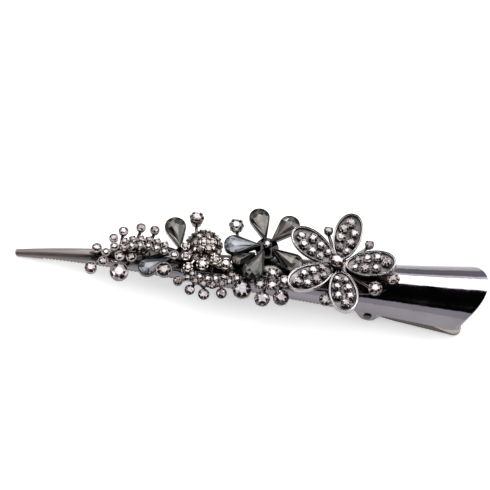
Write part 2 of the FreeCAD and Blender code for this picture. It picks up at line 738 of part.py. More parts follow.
def drop_spray():
    """A curved branch of two rows of small stones with four drops hanging off its near side."""
    group = Cluster()
    inner = [(50.5, -4.3), (52.6, -5.2), (54.9, -5.8), (57.2, -6.1), (59.5, -5.8), (61.7, -5.1),
             (63.8, -4.1)]
    outer = [(51.4, -6.5), (53.8, -7.5), (56.3, -8.1), (58.9, -8.1), (61.4, -7.3), (63.5, -6.3),
             (65.6, -5.0)]
    for row in (inner, outer):
        for x, y in row:
            group.seat(claw_setting, x, y, 6.4, 1.9, turn=15, depth=1.0)
        group.metal += chain([(x, y, 5.5) for x, y in row], 0.5)
    for (xi, yi), (xo, yo) in zip(inner, outer):
        group.metal.append(arm((xi, yi, 5.5), (xo, yo, 5.5)))
    drops = [
        (48.8, -7.6, 5.5, 2.5, 51.4, -6.5), (52.5, -10.0, 5.4, 2.5, 53.8, -7.5),
        (56.7, -10.9, 5.4, 2.8, 56.3, -8.1), (61.7, -10.1, 5.8, 2.7, 61.4, -7.3),
    ]
    for x, y, z, d, back_x, back_y in drops:
        group.seat(bezel_setting, x, y, z, d, foot=(back_x, back_y, 5.4), depth=1.4)
    for x in (53.0, 58.0, 62.5):
        group.metal.append(arm(on_plate(x, -2.2), (x + 0.4, -5.4, 5.5)))
    return group


def claw_cluster():
    """Tall claw-set stones between the crystal flower and the pave flower."""
    group = Cluster()
    group.seat(bezel_setting, 67.4, -8.7, 7.0, 4.9, foot=(69.5, -3.0), depth=2.4)
    stones = [
        (72.4, -6.7, 7.6, 2.9, 72.0, -3.2), (75.6, -3.3, 9.0, 3.0, 75.5, -2.6),
        (75.9, -6.9, 8.4, 3.0, 75.5, -3.3), (79.2, -5.4, 8.9, 3.0, 78.5, -3.2),
        (73.5, -10.9, 6.9, 3.9, 74.0, -3.4), (78.8, -10.0, 7.4, 4.1, 78.0, -3.6),
    ]
    for x, y, z, d, foot_x, foot_y in stones:
        group.seat(claw_setting, x, y, z, d, foot=(foot_x, foot_y), depth=0.65 * d)
    group.metal += spine([(69.5, -3.0), (72.0, -3.2), (75.5, -3.2), (78.3, -3.3)])
    group.metal += spine([(75.5, -3.2), (75.5, -2.4)])
    return group


PAVE_FLOWER = (94.0, 1.0)
PAVE_BASE = 9.4
PAVE_RISE = 8.0               # degrees that the petals rise outwards
PAVE_PETALS = [("outer", 7), ("far", 80), ("inner_far", 148), ("inner_near", 216), ("near", 284)]


def pave_flower_hub():
    """The pave flower's hub: back disc, tall middle setting, and arms with stones between petals."""
    group = Cluster()
    x, y = PAVE_FLOWER
    group.metal = hub(PAVE_FLOWER, 3.2, 8.4, PAVE_BASE + 0.27, 2.0)
    group.seat(claw_setting, x - 0.5, y + 0.3, 13.0, 4.0, lean=0, depth=3.6)
    accents = [
        (85.5, -0.4, 9.5, 2.3), (90.0, 12.4, 10.0, 2.3), (102.2, 9.4, 10.0, 2.3),
        (105.2, -4.7, 9.8, 3.5), (109.8, -0.9, 9.8, 3.0), (91.6, -9.7, 8.8, 3.3),
    ]
    for ax, ay, az, d in accents:
        group.seat(claw_setting, ax, ay, az, d, foot=(x, y, 8.9), depth=0.65 * d)
    return group


def turned_to_stand(nodes):
    """Turns the clip so that its beak and lower lever touch one level plane, then puts the origin
    under its middle."""
    lever_x, lever_z = LEVER_LENGTH_END, lever_bottom(LEVER_LENGTH_END)
    beak_x, beak_z = LOWER_START, edge_height(LOWER_START) - WEB_DROP
    angle = math.degrees(math.atan2(lever_z - beak_z, lever_x - beak_x))
    turn = FreeCAD.Placement(vec(0, 0, 0), FreeCAD.Rotation(Y_AXIS, angle))
    for solids in nodes.values():
        for solid in solids:
            solid.Placement = turn.multiply(solid.Placement)
    box = Part.makeCompound([s for solids in nodes.values() for s in solids]).optimalBoundingBox(False)
    shift = FreeCAD.Placement(vec(-(box.XMin + box.XMax) / 2, -(box.YMin + box.YMax) / 2, -box.ZMin),
                              FreeCAD.Rotation())
    for solids in nodes.values():
        for solid in solids:
            solid.Placement = shift.multiply(solid.Placement)
    return shift.multiply(turn)


def build():
    """Every node's name with its list of solids, in the clip's own design position."""
    nodes = {
        "upper_jaw": [make_upper_jaw()],
        "lower_jaw": [make_lower_jaw()],
        "hinge_pin": [make_hinge_pin()],
        "torsion_spring": [make_spring()],
        "backing_plate": [make_backing_plate()],
    }
    keep_out = arch_loft([x for x in STATIONS if x >= 3], PLATE + 0.01, 20)
    clusters = {
        "tip_spray": tip_spray(), "pave_leaf": pave_leaf(), "near_setting": near_stones(),
        "dome": dome_cluster(), "drop_spray": drop_spray(), "claw_cluster": claw_cluster(),
        "far_setting": far_stone(), "smoky_hub": smoky_flower_hub(), "pave_hub": pave_flower_hub(),
        "small_hub": small_flower_hub(),
    }
    flowers = (("small", SMALL_FLOWER, SMALL_PETALS), ("smoky", SMOKY_FLOWER, SMOKY_PETALS))
    for flower, centre, petals in flowers:
        for name, bezel, crystal in flower_petals(centre, petals):
            nodes[flower + "_petal_" + name + "_bezel"] = [bezel]
            nodes[flower + "_petal_" + name + "_crystal"] = [crystal]
    dish = dish_petal()
    gems = petal_stones()
    dishes = []
    for name, direction in PAVE_PETALS:
        where = dict(turn=direction, pitch=-PAVE_RISE)
        point = (PAVE_FLOWER[0], PAVE_FLOWER[1], PAVE_BASE)
        dishes.append(placed(dish, point, **where))
        nodes["pave_petal_" + name] = [dishes[-1]]
        nodes["pave_petal_" + name + "_stones"] = [placed(gem, point, **where) for gem in gems]
    # a frame gives way to the petals that are laid over it
    laid_over = {"near_setting": nodes["small_petal_near_bezel"], "pave_hub": dishes}
    for name, group in clusters.items():
        nodes[name + "_frame"] = [group.frame([keep_out] + laid_over.get(name, []))]
        if group.gems:
            nodes[name + "_stones"] = group.gems
    return nodes


def main():
    os.makedirs("parts", exist_ok=True)
    nodes = build()
    turned_to_stand(nodes)
    for name, solids in nodes.items():
        shape = solids[0] if len(solids) == 1 else Part.makeCompound(solids)
        shape.exportStep("parts/" + name + ".step")


if __name__ == "__main__":
    main()
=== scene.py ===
"""The long jewelled beak clip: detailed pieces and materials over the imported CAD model."""
import json
import math
import random

import bmesh
import bpy
import numpy as np
from mathutils import Matrix, Vector


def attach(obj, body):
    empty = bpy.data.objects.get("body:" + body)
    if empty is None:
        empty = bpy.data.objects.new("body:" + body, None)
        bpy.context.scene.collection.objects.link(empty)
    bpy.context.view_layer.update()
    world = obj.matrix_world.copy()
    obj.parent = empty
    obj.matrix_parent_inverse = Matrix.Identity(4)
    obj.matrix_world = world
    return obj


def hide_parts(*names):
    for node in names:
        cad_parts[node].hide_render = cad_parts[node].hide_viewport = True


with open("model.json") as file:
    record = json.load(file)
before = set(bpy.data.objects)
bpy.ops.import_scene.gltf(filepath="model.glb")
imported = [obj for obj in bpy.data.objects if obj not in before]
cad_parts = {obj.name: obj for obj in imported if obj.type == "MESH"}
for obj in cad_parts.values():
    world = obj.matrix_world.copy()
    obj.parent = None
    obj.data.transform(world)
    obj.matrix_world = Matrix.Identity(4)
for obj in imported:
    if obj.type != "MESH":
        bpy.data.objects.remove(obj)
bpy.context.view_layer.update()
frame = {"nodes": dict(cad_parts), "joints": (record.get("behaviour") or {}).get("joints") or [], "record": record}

NODES = frame["nodes"]
MM = 0.001
TURN = 2 * math.pi
TOP = "clip_top"


# ---- camera, lights and floor ----

TILT = 29.9                   # degrees off straight down
ROLL = 8.0                    # degrees that the picture is turned
DISTANCE = 0.8                # metres
PIXELS_PER_MM = 3.424
PICTURE = 490                 # pixels across
SENSOR = 36
AIM = (-0.68 * MM, 10.83 * MM)    # right and up of the clip's origin, in the camera's own axes


def add_camera():
    """The photograph's view: from above and the near side, rolled a little."""
    turn = Matrix.Rotation(math.radians(TILT), 3, "X") @ Matrix.Rotation(math.radians(ROLL), 3, "Z")
    data = bpy.data.cameras.new("camera")
    data.sensor_width = SENSOR
    data.lens = PIXELS_PER_MM * DISTANCE / MM * SENSOR / PICTURE
    data.clip_start = 0.01
    data.clip_end = 50
    camera = bpy.data.objects.new("camera", data)
    camera.matrix_world = (Matrix.Translation(turn @ Vector((AIM[0], AIM[1], DISTANCE)))
                           @ turn.to_4x4())
    bpy.context.scene.collection.objects.link(camera)
    bpy.context.scene.camera = camera


# whether a light is seen in reflections, and whether it lights matt surfaces
MIRRORED = (True, False)
MATT = (False, True)
BOTH = (True, True)

# name, place, what it faces, width and height, radiance, colour, where it shows; in metres
LIGHTS = [
    ("overhead", (0.40, 0.36, 0.62), (0.40, 0, 0), (1.16, 0.50), 7.6, (1.0, 0.99, 0.985), MIRRORED),
    ("overhead_left", (-0.72, 0.36, 0.62), (-0.72, 0, 0), (1.04, 0.50), 2.2, (0.98, 0.93, 0.93), MIRRORED),
    ("rear_wall", (0.2, 1.3, 0.46), (0.2, 0, 0.2), (2.8, 0.90), 0.62, (0.95, 0.92, 1.0), MIRRORED),
    ("overhead_edge", (0.40, 0.60, 0.45), (0.40, 0, 0), (1.16, 0.16), 2.2, (0.97, 0.96, 1.0), MIRRORED),
    ("front_fill", (0.2, -1.25, 0.25), (0.2, 0, 0.02), (2.0, 0.60), 1.15, (0.95, 0.93, 1.0), MIRRORED),
    ("front_left", (-1.05, -0.85, 0.30), (-0.05, 0, 0.01), (0.7, 0.5), 0.5, (1.0, 0.94, 0.84), BOTH),
    ("soft_fill", (0.0, 0.1, 1.6), (0, 0, 0), (4.4, 4.0), 1.65, (1, 1, 1), MATT),
    ("left_spark", (-0.75, -0.10, 0.55), (0, 0, 0), (0.10, 0.10), 30.0, (1, 1, 1), MIRRORED),
    ("right_spark", (0.62, -0.34, 0.80), (0, 0, 0), (0.07, 0.07), 36.0, (1.0, 0.97, 0.95), MIRRORED),
    ("rear_spark", (-0.30, 0.85, 0.35), (0, 0, 0), (0.10, 0.10), 26.0, (1, 1, 1), MIRRORED),
    ("front_spark", (-0.22, -0.62, 0.52), (0, 0, 0), (0.05, 0.05), 36.0, (1.0, 0.96, 0.97), MIRRORED),
]


def add_area(name, place, target, size, radiance, colour, shows):
    """A soft rectangular light that faces target."""
    data = bpy.data.lights.new(name, "AREA")
    data.shape = "RECTANGLE"
    data.size, data.size_y = size
    data.energy = radiance * math.pi * size[0] * size[1]
    data.color = colour
    light = bpy.data.objects.new(name, data)
    light.visible_glossy, light.visible_diffuse = shows
    look = Vector(target) - Vector(place)
    light.matrix_world = Matrix.Translation(place) @ look.to_track_quat("-Z", "Y").to_matrix().to_4x4()
    bpy.context.scene.collection.objects.link(light)


def add_lights():
    """Strips that the polished metal mirrors, small lamps for the stones, and one broad soft fill."""
    bpy.context.scene.view_settings.view_transform = "Standard"
    for light in LIGHTS:
        add_area(*light)


def add_room():
    """The room is dark for the metal's reflections, and as pale as the floor where it is seen directly."""
    world = bpy.data.worlds.new("room")
    world.use_nodes = True
    back = world.node_tree.nodes["Background"]
    back.inputs["Color"].default_value = (0.97, 0.97, 0.98, 1)
    seen = world.node_tree.nodes.new("ShaderNodeLightPath").outputs["Is Camera Ray"]
    level = world.node_tree.nodes.new("ShaderNodeMapRange")
    level.inputs["To Min"].default_value = 0.004
    level.inputs["To Max"].default_value = 1.0
    world.node_tree.links.new(seen, level.inputs["Value"])
    world.node_tree.links.new(level.outputs["Result"], back.inputs["Strength"])
    bpy.context.scene.world = world


FLOOR_HALF = 5                # metres
FLOOR_HEIGHT = -0.4 * MM      # just clear of the beak and the lever that rest on it
FLOOR_GLOW = 0.42             # keeps the shadow as faint as the photograph's


def add_floor():
    """Pale paper, mottled a little."""
    mesh = bpy.data.meshes.new("floor")
    corners = [(FLOOR_HALF * x, FLOOR_HALF * y, FLOOR_HEIGHT)
               for x, y in ((-1, -1), (1, -1), (1, 1), (-1, 1))]
    mesh.from_pydata(corners, [], [(0, 1, 2, 3)])
    floor = bpy.data.objects.new("floor", mesh)
    bpy.context.scene.collection.objects.link(floor)
    paper = Shader("paper", Roughness=0.75, Emission_Color=(1, 1, 1, 1), Emission_Strength=FLOOR_GLOW)
    paper.set("Base Color", paper.ramp(paper.noise(30, 4), [(0.3, (0.90, 0.90, 0.905)),
                                                            (0.7, (0.93, 0.93, 0.935))]))
    mesh.materials.append(paper.material)


# ---- node materials ----

class Shader:
    """A short way to write a node material."""

    def __init__(self, name, **values):
        self.material = bpy.data.materials.new(name)
        self.material.use_nodes = True
        self.tree = self.material.node_tree
        self.main = self.tree.nodes["Principled BSDF"]
        self.place = self.add("ShaderNodeTexCoord").outputs["Object"]
        for key, value in values.items():
            self.main.inputs[key.replace("_", " ")].default_value = value

    def add(self, kind, links=(), **settings):
        """A node with {socket: source} links; each setting is a socket's value or the node's own."""
        node = self.tree.nodes.new(kind)
        for key, value in settings.items():
            if key in node.inputs:
                node.inputs[key].default_value = value
            else:
                setattr(node, key, value)
        for socket, source in dict(links).items():
            self.tree.links.new(source, node.inputs[socket])
        return node

    def noise(self, scale, detail=4.0, stretch=(1, 1, 1), distortion=0.0):
        """Noise, scale in features per metre."""
        mapping = self.add("ShaderNodeMapping", {"Vector": self.place})
        mapping.inputs["Scale"].default_value = stretch
        made = self.add("ShaderNodeTexNoise", {"Vector": mapping.outputs["Vector"]})
        made.inputs["Scale"].default_value = scale
        made.inputs["Detail"].default_value = detail
        made.inputs["Distortion"].default_value = distortion
        return made.outputs["Fac"]

    def ramp(self, source, stops):
        """source through a colour ramp of (place, colour) stops."""
        node = self.add("ShaderNodeValToRGB", {"Fac": source})
        ramp = node.color_ramp
        while len(ramp.elements) < len(stops):
            ramp.elements.new(0.5)
        for element, (where, colour) in zip(ramp.elements, stops):
            element.position = where
            element.color = (*colour, 1)
        return node.outputs["Color"]

    def remap(self, source, low, high, to_low, to_high):
        node = self.add("ShaderNodeMapRange", {"Value": source})
        for name, value in (("From Min", low), ("From Max", high), ("To Min", to_low), ("To Max", to_high)):
            node.inputs[name].default_value = value
        return node.outputs["Result"]

    def mix(self, factor, a, b):
        """a blended into b by factor; each may be a number, a colour or a socket."""
        node = self.add("ShaderNodeMix", data_type="RGBA", blend_type="MIX")
        for index, value in ((0, factor), (6, a), (7, b)):
            if isinstance(value, (int, float)):
                node.inputs[index].default_value = value
            elif isinstance(value, tuple):
                node.inputs[index].default_value = (*value, 1)
            else:
                self.tree.links.new(value, node.inputs[index])
        return node.outputs[2]

    def bump(self, *layers):
        """Layers of (height, strength, distance in metres)."""
        normal = None
        for height, strength, distance in layers:
            node = self.add("ShaderNodeBump", {"Height": height})
            node.inputs["Strength"].default_value = strength
            node.inputs["Distance"].default_value = distance
            if normal is not None:
                self.tree.links.new(normal, node.inputs["Normal"])
            normal = node.outputs["Normal"]
        self.set("Normal", normal)

    def set(self, name, source):
        self.tree.links.new(source, self.main.inputs[name])


TARNISH = (0.16, 0.12, 0.09)
SATIN = (0.175, 0.152, 0.147)
SATIN_ROUGHNESS = (0.42, 0.42, 0.42)


def gunmetal(name, dark, light, rough, wear=1.0, satin=None):
    """Polished dark plating with smudges, fine scratches and a faint change of tone. satin is the
    range of x over which it goes from satin, towards the beak's tip, to polished."""
    s = Shader(name, Metallic=1.0)
    tone = s.noise(55, 3)
    colour = s.ramp(tone, [(0.3, dark), (0.7, light)])
    specks = s.noise(2600, 2)
    brown = s.ramp(specks, [(0.62, (0, 0, 0)), (0.75, (1, 1, 1))])
    brown_amount = s.remap(brown, 0, 1, 0, 0.35 * wear)
    colour = s.mix(brown_amount, colour, TARNISH)
    smudge = s.noise(190, 5, distortion=0.6)
    fine = s.noise(1500, 3, (0.12, 1, 1))
    roughness = s.mix(0.35, s.remap(smudge, 0.3, 0.75, rough * 0.55, rough * (1.2 + 0.9 * wear)),
                      s.remap(fine, 0.3, 0.7, rough * 0.5, rough * 1.8))
    if satin:
        x = s.add("ShaderNodeSeparateXYZ", {"Vector": s.place}).outputs["X"]
        amount = s.remap(x, satin[0], satin[1], 1.0, 0.0)
        roughness = s.mix(amount, roughness, SATIN_ROUGHNESS)
        colour = s.mix(amount, colour, SATIN)
    s.set("Base Color", colour)
    s.set("Roughness", roughness)
    scratch = s.noise(900, 2, (0.05, 1, 1), 0.4)
    s.bump((scratch, 0.05 * wear, 0.00002), (s.noise(420, 2), 0.05, 0.00006))
    return s.material


def cut_stone(name, painted_reflection_tones, ior, grain, coat):
    """A foil-backed cut stone. Each facet has a painted tone that stands in for the reflections that the foil and
    the facets behind it give.
    """
    s = Shader(name, IOR=ior, Coat_Weight=coat, Coat_Roughness=0.015, Coat_IOR=1.6)
    # the facet's painted reflection tone, kept in the face attribute own
    facet = s.add("ShaderNodeAttribute", attribute_name="own").outputs["Fac"]
    # noise that varies the painted reflection tone inside each facet
    inner = s.remap(s.noise(grain, 2, distortion=0.8), 0.3, 0.7, -0.11, 0.11)
    tone = s.add("ShaderNodeMath", {0: facet, 1: inner}, operation="ADD").outputs["Value"]
    s.set("Base Color", s.ramp(tone, painted_reflection_tones))
    s.set("Roughness", s.remap(s.noise(grain * 2, 2), 0.3, 0.7, 0.03, 0.12))
    s.bump((s.noise(grain * 0.7, 1), 0.06, 0.00004))
    return s.material


# ---- reading the CAD pieces ----

WELD = 2e-6                   # metres; points closer than this are one
KEEL_DEPTH = 0.28             # from the girdle down to a CAD stone's keel, in diameters


def loose_parts(node):
    """The separate solids of a CAD node, each as an array of its points, in the mesh's own order, so
    that each stone gets the same random painted reflections on every run."""
    mesh = bmesh.new()
    mesh.from_mesh(NODES[node].data)
    bmesh.ops.remove_doubles(mesh, verts=mesh.verts, dist=WELD)
    left = set(mesh.verts)
    parts = []
    for first in mesh.verts:
        if first not in left:
            continue
        left.remove(first)
        edge = [first]
        part = [first]
        while edge:
            for link in edge.pop().link_edges:
                for v in link.verts:
                    if v in left:
                        left.remove(v)
                        edge.append(v)
                        part.append(v)
        parts.append(np.array([v.co[:] for v in part]))
    mesh.free()
    return parts


def girdle_of(points):
    """The middle of a round stone's girdle, its axis and its diameter."""
    middle = points.mean(axis=0)
    axis = np.linalg.eigh(np.cov((points - middle).T))[1][:, 0]
    axis = axis if axis[2] > 0 else -axis
    along = (points - middle) @ axis
    out = points - middle - np.outer(along, axis)
    d = 2 * np.linalg.norm(out, axis=1).max()
    return middle + axis * (along.min() + KEEL_DEPTH * d), axis, d


def basis(axis, turn=0.0):
    """Columns x, y and z of a frame whose z is axis, with x along the clip and then turned about z."""
    z = Vector(axis).normalized()
    along = Vector((1, 0, 0))
    x = (along - z * z.dot(along)).normalized()
    x = Matrix.Rotation(turn, 3, z) @ x
    return np.array([x, z.cross(x), z]).T


# ---- meshes ----

AS_IT_IS = np.eye(3)
SAME_FACET = math.radians(0.6)


class Build:
    """Gathers points and faces for one mesh with several materials."""

    def __init__(self):
        self.points = []
        self.faces = []
        self.slots = []
        self.own = []
        self.count = 0

    def put(self, points, faces, slots, place=(0, 0, 0), turn=AS_IT_IS, scale=1.0, own=0.0):
        """Adds a shape; slots and own are one value for it all, or one for each face. own is a face's painted
        reflection tone.
        """
        moved = (np.asarray(points) * scale) @ np.asarray(turn).T + np.asarray(place)
        self.points.append(moved)
        self.faces += [tuple(i + self.count for i in f) for f in faces]
        self.slots += [slots] * len(faces) if isinstance(slots, int) else slots
        self.own += [own] * len(faces) if isinstance(own, float) else own
        self.count += len(moved)

    def piece(self, name, materials, replaces, smooth=False):
        """The mesh as a piece that rides the clip's top in place of a CAD node."""
        mesh = bpy.data.meshes.new(name)
        mesh.from_pydata(np.concatenate(self.points).tolist(), [], self.faces)
        for material in materials:
            mesh.materials.append(material)
        mesh.polygons.foreach_set("material_index", self.slots)
        mesh.polygons.foreach_set("use_smooth", [smooth] * len(self.faces))
        # each face's painted reflection tone, which the stone materials read
        tone = mesh.attributes.new("own", "FLOAT", "FACE")
        tone.data.foreach_set("value", self.own)
        mesh.update()
        made = bpy.data.objects.new(name, mesh)
        bpy.context.scene.collection.objects.link(made)
        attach(made, TOP)
        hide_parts(replaces)


def hull(points):
    """The solid that wraps the points: its points, its outward faces and how far each faces up. Flat
    facets are merged."""
    mesh = bmesh.new()
    for p in points:
        mesh.verts.new(p)
    bmesh.ops.convex_hull(mesh, input=mesh.verts)
    bmesh.ops.dissolve_limit(mesh, angle_limit=SAME_FACET, verts=mesh.verts, edges=mesh.edges)
    bmesh.ops.recalc_face_normals(mesh, faces=mesh.faces)
    mesh.verts.index_update()
    out = [v.co[:] for v in mesh.verts]
    faces = [tuple(v.index for v in f.verts) for f in mesh.faces]
    ups = [f.normal.z for f in mesh.faces]
    mesh.free()
    return out, faces, ups


def loft(rings):
    """Points and faces of a closed skin over rings of equal counts."""
    count = len(rings[0])
    faces = []
    for k in range(len(rings) - 1):
        for i in range(count):
            j = (i + 1) % count
            faces.append((k * count + i, k * count + j, (k + 1) * count + j, (k + 1) * count + i))
    faces.append(tuple(reversed(range(count))))
    faces.append(tuple(range((len(rings) - 1) * count, len(rings) * count)))
    return np.concatenate(rings), faces


def circle(radius, height, count, shift=0.0):
    return [(radius * math.cos(TURN * (i + shift) / count),
             radius * math.sin(TURN * (i + shift) / count), height) for i in range(count)]


# ---- the round stones ----

STONE_PLAY = 1.02             # a cut stone fills most of its seat's play
TABLE_UP = 0.97               # a facet that faces up more than this is a table
SECTORS = 16                  # painted dark and light reflection tones take turns round a stone's facets
ODD_ONE = 0.22                # the chance that a facet breaks that order
# painted reflection tones of the dark and of the light facets
DARK_REFLECTION_TONES = (0.0, 0.26)
LIGHT_REFLECTION_TONES = [(0.5, 0.7), (0.74, 1.0)]
BIG_STONE = 2.9 * MM          # above this more tables get a bright painted reflection
CLAWED_STONE = 2.15 * MM      # above this a stone has claws, where its cluster has any
CLAW_OUT = 0.53               # from the stone's middle to its claws, in diameters


def brilliant():
    """A round cut of diameter 1: table, eight main facets above, smaller ones round them, and a keel."""
    points = (circle(0.235, 0.165, 8) + circle(0.40, 0.105, 8, 0.5) + circle(0.497, 0.02, 16, 0.5)
              + circle(0.5, -0.005, 16, 0.5) + circle(0.27, -0.155, 8, 0.5) + circle(0.02, -0.275, 8))
    return hull(points)


def painted_facet_reflections(faces, points, ups, chance, bright):
    """A painted reflection tone for every facet: a light table, and dark and light facets turn by turn round it.
    """
    painted_reflection_tones = []
    for face, up in zip(faces, ups):
        if up > TABLE_UP:
            painted_reflection_tones.append(bright)
            continue
        middle = np.mean([points[i] for i in face], axis=0)
        turn = math.atan2(middle[1], middle[0]) / TURN
        dark = (int(math.floor(turn * SECTORS + 0.5)) % 2 == 0) != (chance.random() < ODD_ONE)
        low, high = DARK_REFLECTION_TONES if dark else chance.choice(LIGHT_REFLECTION_TONES)
        painted_reflection_tones.append(chance.uniform(low, high))
    return painted_reflection_tones


def claw_shape():
    """A slim claw for a stone of diameter 1: up beside the girdle and bent in over the crown."""
    path = [(0.03, -0.22, 0.055), (0.04, 0.0, 0.055), (0.01, 0.09, 0.05), (-0.07, 0.15, 0.042),
            (-0.12, 0.165, 0.02)]     # across, up and radius
    rings = [np.array([(x + 0.6 * r * math.cos(a), r * math.sin(a), z + 0.6 * r * math.cos(a))
                       for a in [TURN * i / 6 for i in range(6)]]) for x, z, r in path]
    return loft(rings)


def add_stones(node, seed, claws):
    """Cut stones in place of a node's CAD stones, with this many claws round the larger ones."""
    chance = random.Random(seed)
    build = Build()
    points, faces, ups = brilliant()
    prong = claw_shape()
    for part in loose_parts(node):
        middle, axis, d = girdle_of(part)
        lean = Vector(axis) + Vector([chance.uniform(-0.05, 0.05) for _ in range(3)])
        # how likely a stone's table is to get a bright painted reflection, and how bright it is
        weights = (85, 15) if d > BIG_STONE else (60, 40)
        bright = chance.choices([chance.uniform(0.88, 1.0), chance.uniform(0.55, 0.75)], weights)[0]
        build.put(points, faces, 0, middle, basis(lean, chance.uniform(0, 0.8)), d * STONE_PLAY,
                  painted_facet_reflections(faces, points, ups, chance, bright))
        for i in range(claws if d > CLAWED_STONE else 0):
            around = basis(axis, TURN * i / claws)
            at = middle + around @ np.array([CLAW_OUT, 0, 0.02]) * d
            build.put(*prong, 1, at, around, d)
    build.piece("cut_" + node, [clear_stone, claw_metal], node)


# ---- shapes laid out in the clip's own design frame, in millimetres ----

PIN = np.array([104.0, 0.0, -1.5])
MOUNT = next(m for m in frame["record"]["mounts"] if m["name"] == "hair_side_face")
HINGE = frame["joints"][0]
UP = -Vector(MOUNT["axis"])
STAND = np.array([Vector((0, 1, 0)).cross(UP), Vector((0, 1, 0)), UP]).T


def stand(points):
    """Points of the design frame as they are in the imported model, in metres."""
    return (np.asarray(points) - PIN) * MM @ STAND.T + np.array(HINGE["pos_m"])


def local(points, centre, turn=0.0, rise=0.0):
    """Points of a petal lying along +x, put at centre, turned and tipped up outwards."""
    spin = Matrix.Rotation(math.radians(turn), 3, "Z") @ Matrix.Rotation(math.radians(-rise), 3, "Y")
    return np.asarray(points) @ np.array(spin).T + np.array(centre)


# ---- the teardrop crystals ----

SMOKY = (73.0, 4.8)
SMALL = (48.6, 0.8)
# node name, flower's middle, direction, height, start, length, width
CRYSTALS = [
    ("small_petal_far", SMALL, 109, 8.0, 1.0, 10.4, 6.2),
    ("small_petal_middle", SMALL, 184, 8.0, 1.0, 10.8, 5.2),
    ("small_petal_near", SMALL, 210, 5.9, 3.2, 10.0, 5.4),
    ("smoky_petal_right", SMOKY, 54, 10.0, 1.8, 10.8, 6.0),
    ("smoky_petal_far", SMOKY, 110, 10.0, 1.8, 10.8, 6.0),
    ("smoky_petal_left", SMOKY, 185, 10.0, 1.8, 10.6, 6.0),
    ("smoky_petal_under", SMOKY, 207, 7.6, 3.5, 7.4, 4.4),
    ("smoky_petal_near", SMOKY, 250, 10.0, 1.8, 10.4, 6.0),
    ("smoky_petal_inner", SMOKY, 330, 10.0, 1.8, 10.4, 6.0),
]
BLUE = ("smoky_petal_left", "small_petal_near")
CRYSTAL_SEED = 4
CRYSTAL_STEPS = (14, 3)       # round a teardrop's head, and along each side
RIM_STEPS = (32, 8)
TIP_RADIUS = 0.35
CRYSTAL_INSET = 0.28          # from the rim's outside to the crystal's girdle
STEEP = 0.72                  # a facet that faces up less than this is painted dark, as shade
# inset and height of a rim, from its outer foot over the top to its inner foot
RIM = [(0.0, -1.3), (0.0, 0.16), (0.02, 0.30), (0.08, 0.40), (0.24, 0.40), (0.30, 0.30), (0.32, 0.05),
       (0.40, -1.0)]


def between(a, b, count):
    """The points that part the line from a to b in count equal steps, without its ends."""
    return [(a[0] + (b[0] - a[0]) * t, a[1] + (b[1] - a[1]) * t)
            for t in [i / count for i in range(1, count)]]


def pear(length, width, inset, height, steps):
    """A teardrop's outline: tip at the origin, head along +x."""
    head, side = steps
    centre = length - width / 2
    lean = math.pi - math.acos((width / 2 - TIP_RADIUS) / (centre - TIP_RADIUS))
    points = []
    for i in range(head + 1):
        a = -lean + 2 * lean * i / head
        r = width / 2 - inset
        points.append((centre + r * math.cos(a), r * math.sin(a)))
    r = max(TIP_RADIUS - inset, 0.03)
    start = TIP_RADIUS + max(0.0, inset - TIP_RADIUS) * 1.9
    tip = [(start + r * math.cos(a), r * math.sin(a)) for a in (lean, math.pi, -lean)]
    points += between(points[-1], tip[0], side) + tip + between(tip[2], points[0], side)
    return np.array([(x, y, height) for x, y in points])


def pear_cut(length, width, chance):
    """A pear-cut crystal: long facets that rise to a short broken ridge, and a keel below. Facets that face up are
    painted light, as reflections of the lamps above, and steep ones dark, as shade.
    """
    girdle = pear(length, width, CRYSTAL_INSET, 0.22, CRYSTAL_STEPS)
    low = pear(length, width, CRYSTAL_INSET, 0.10, CRYSTAL_STEPS)
    crown = pear(length, width, 0.95, 0.60, CRYSTAL_STEPS)[1::3]
    head = length - width * 0.5
    ridge = np.array([(length * 0.36, chance.uniform(-0.1, 0.1), 0.82), (head - 0.2, 1.0, 0.97),
                      (head + 0.1, -0.9, 1.0), (head + 0.9, 0.15, 0.93)])
    keel = pear(length, width, 1.3, -0.62, CRYSTAL_STEPS)[1::3]
    keel_end = np.array([(length - width * 0.55, 0.1, -1.0), (length * 0.45, -0.05, -0.92)])
    points, faces, ups = hull(np.concatenate([girdle, low, crown, ridge, keel, keel_end]))
    # painted tones: bright reflections on the tables, shade on the steep facets, random reflections between
    painted_reflection_tones = []
    for up in ups:
        if up > TABLE_UP:
            low_tone, high_tone = chance.choice([(0.62, 0.78), (0.85, 1.0)])
        elif up < STEEP:
            low_tone, high_tone = 0.05, 0.4
        else:
            low_tone, high_tone = chance.choice([(0.1, 0.4), (0.5, 0.7), (0.78, 0.95)])
        painted_reflection_tones.append(chance.uniform(low_tone, high_tone))
    return points, faces, painted_reflection_tones


def add_crystals():
    """Each teardrop crystal in its thin black rim."""
    chance = random.Random(CRYSTAL_SEED)
    for name, middle, direction, height, start, length, width in CRYSTALS:
        a = math.radians(direction)
        at = (middle[0] + start * math.cos(a), middle[1] + start * math.sin(a), height)
        points, faces, painted_reflection_tones = pear_cut(length, width, chance)
        crystal = Build()
        crystal.put(stand(local(points, at, direction)), faces, 0, own=painted_reflection_tones)
        crystal.piece("cut_" + name, [blue_stone if name in BLUE else smoky_stone],
                      name + "_crystal")
        points, faces = loft([pear(length, width, inset, z, RIM_STEPS) for inset, z in RIM])
        rim = Build()
        rim.put(stand(local(points, at, direction)), faces, 0)
        rim.piece("rim_" + name, [black_metal], name + "_bezel", smooth=True)


# ---- the pave petals ----

PAVE = (94.0, 1.0, 9.4)
PETALS = [("outer", 7), ("far", 80), ("inner_far", 148), ("inner_near", 216), ("near", 284)]
PETAL_LENGTH = 14.6
PETAL_HALF_WIDTH = 4.2
PETAL_MIDDLE = 9.5            # from the flower's middle
PETAL_RISE = 8                # degrees
PETAL_STEPS = 72
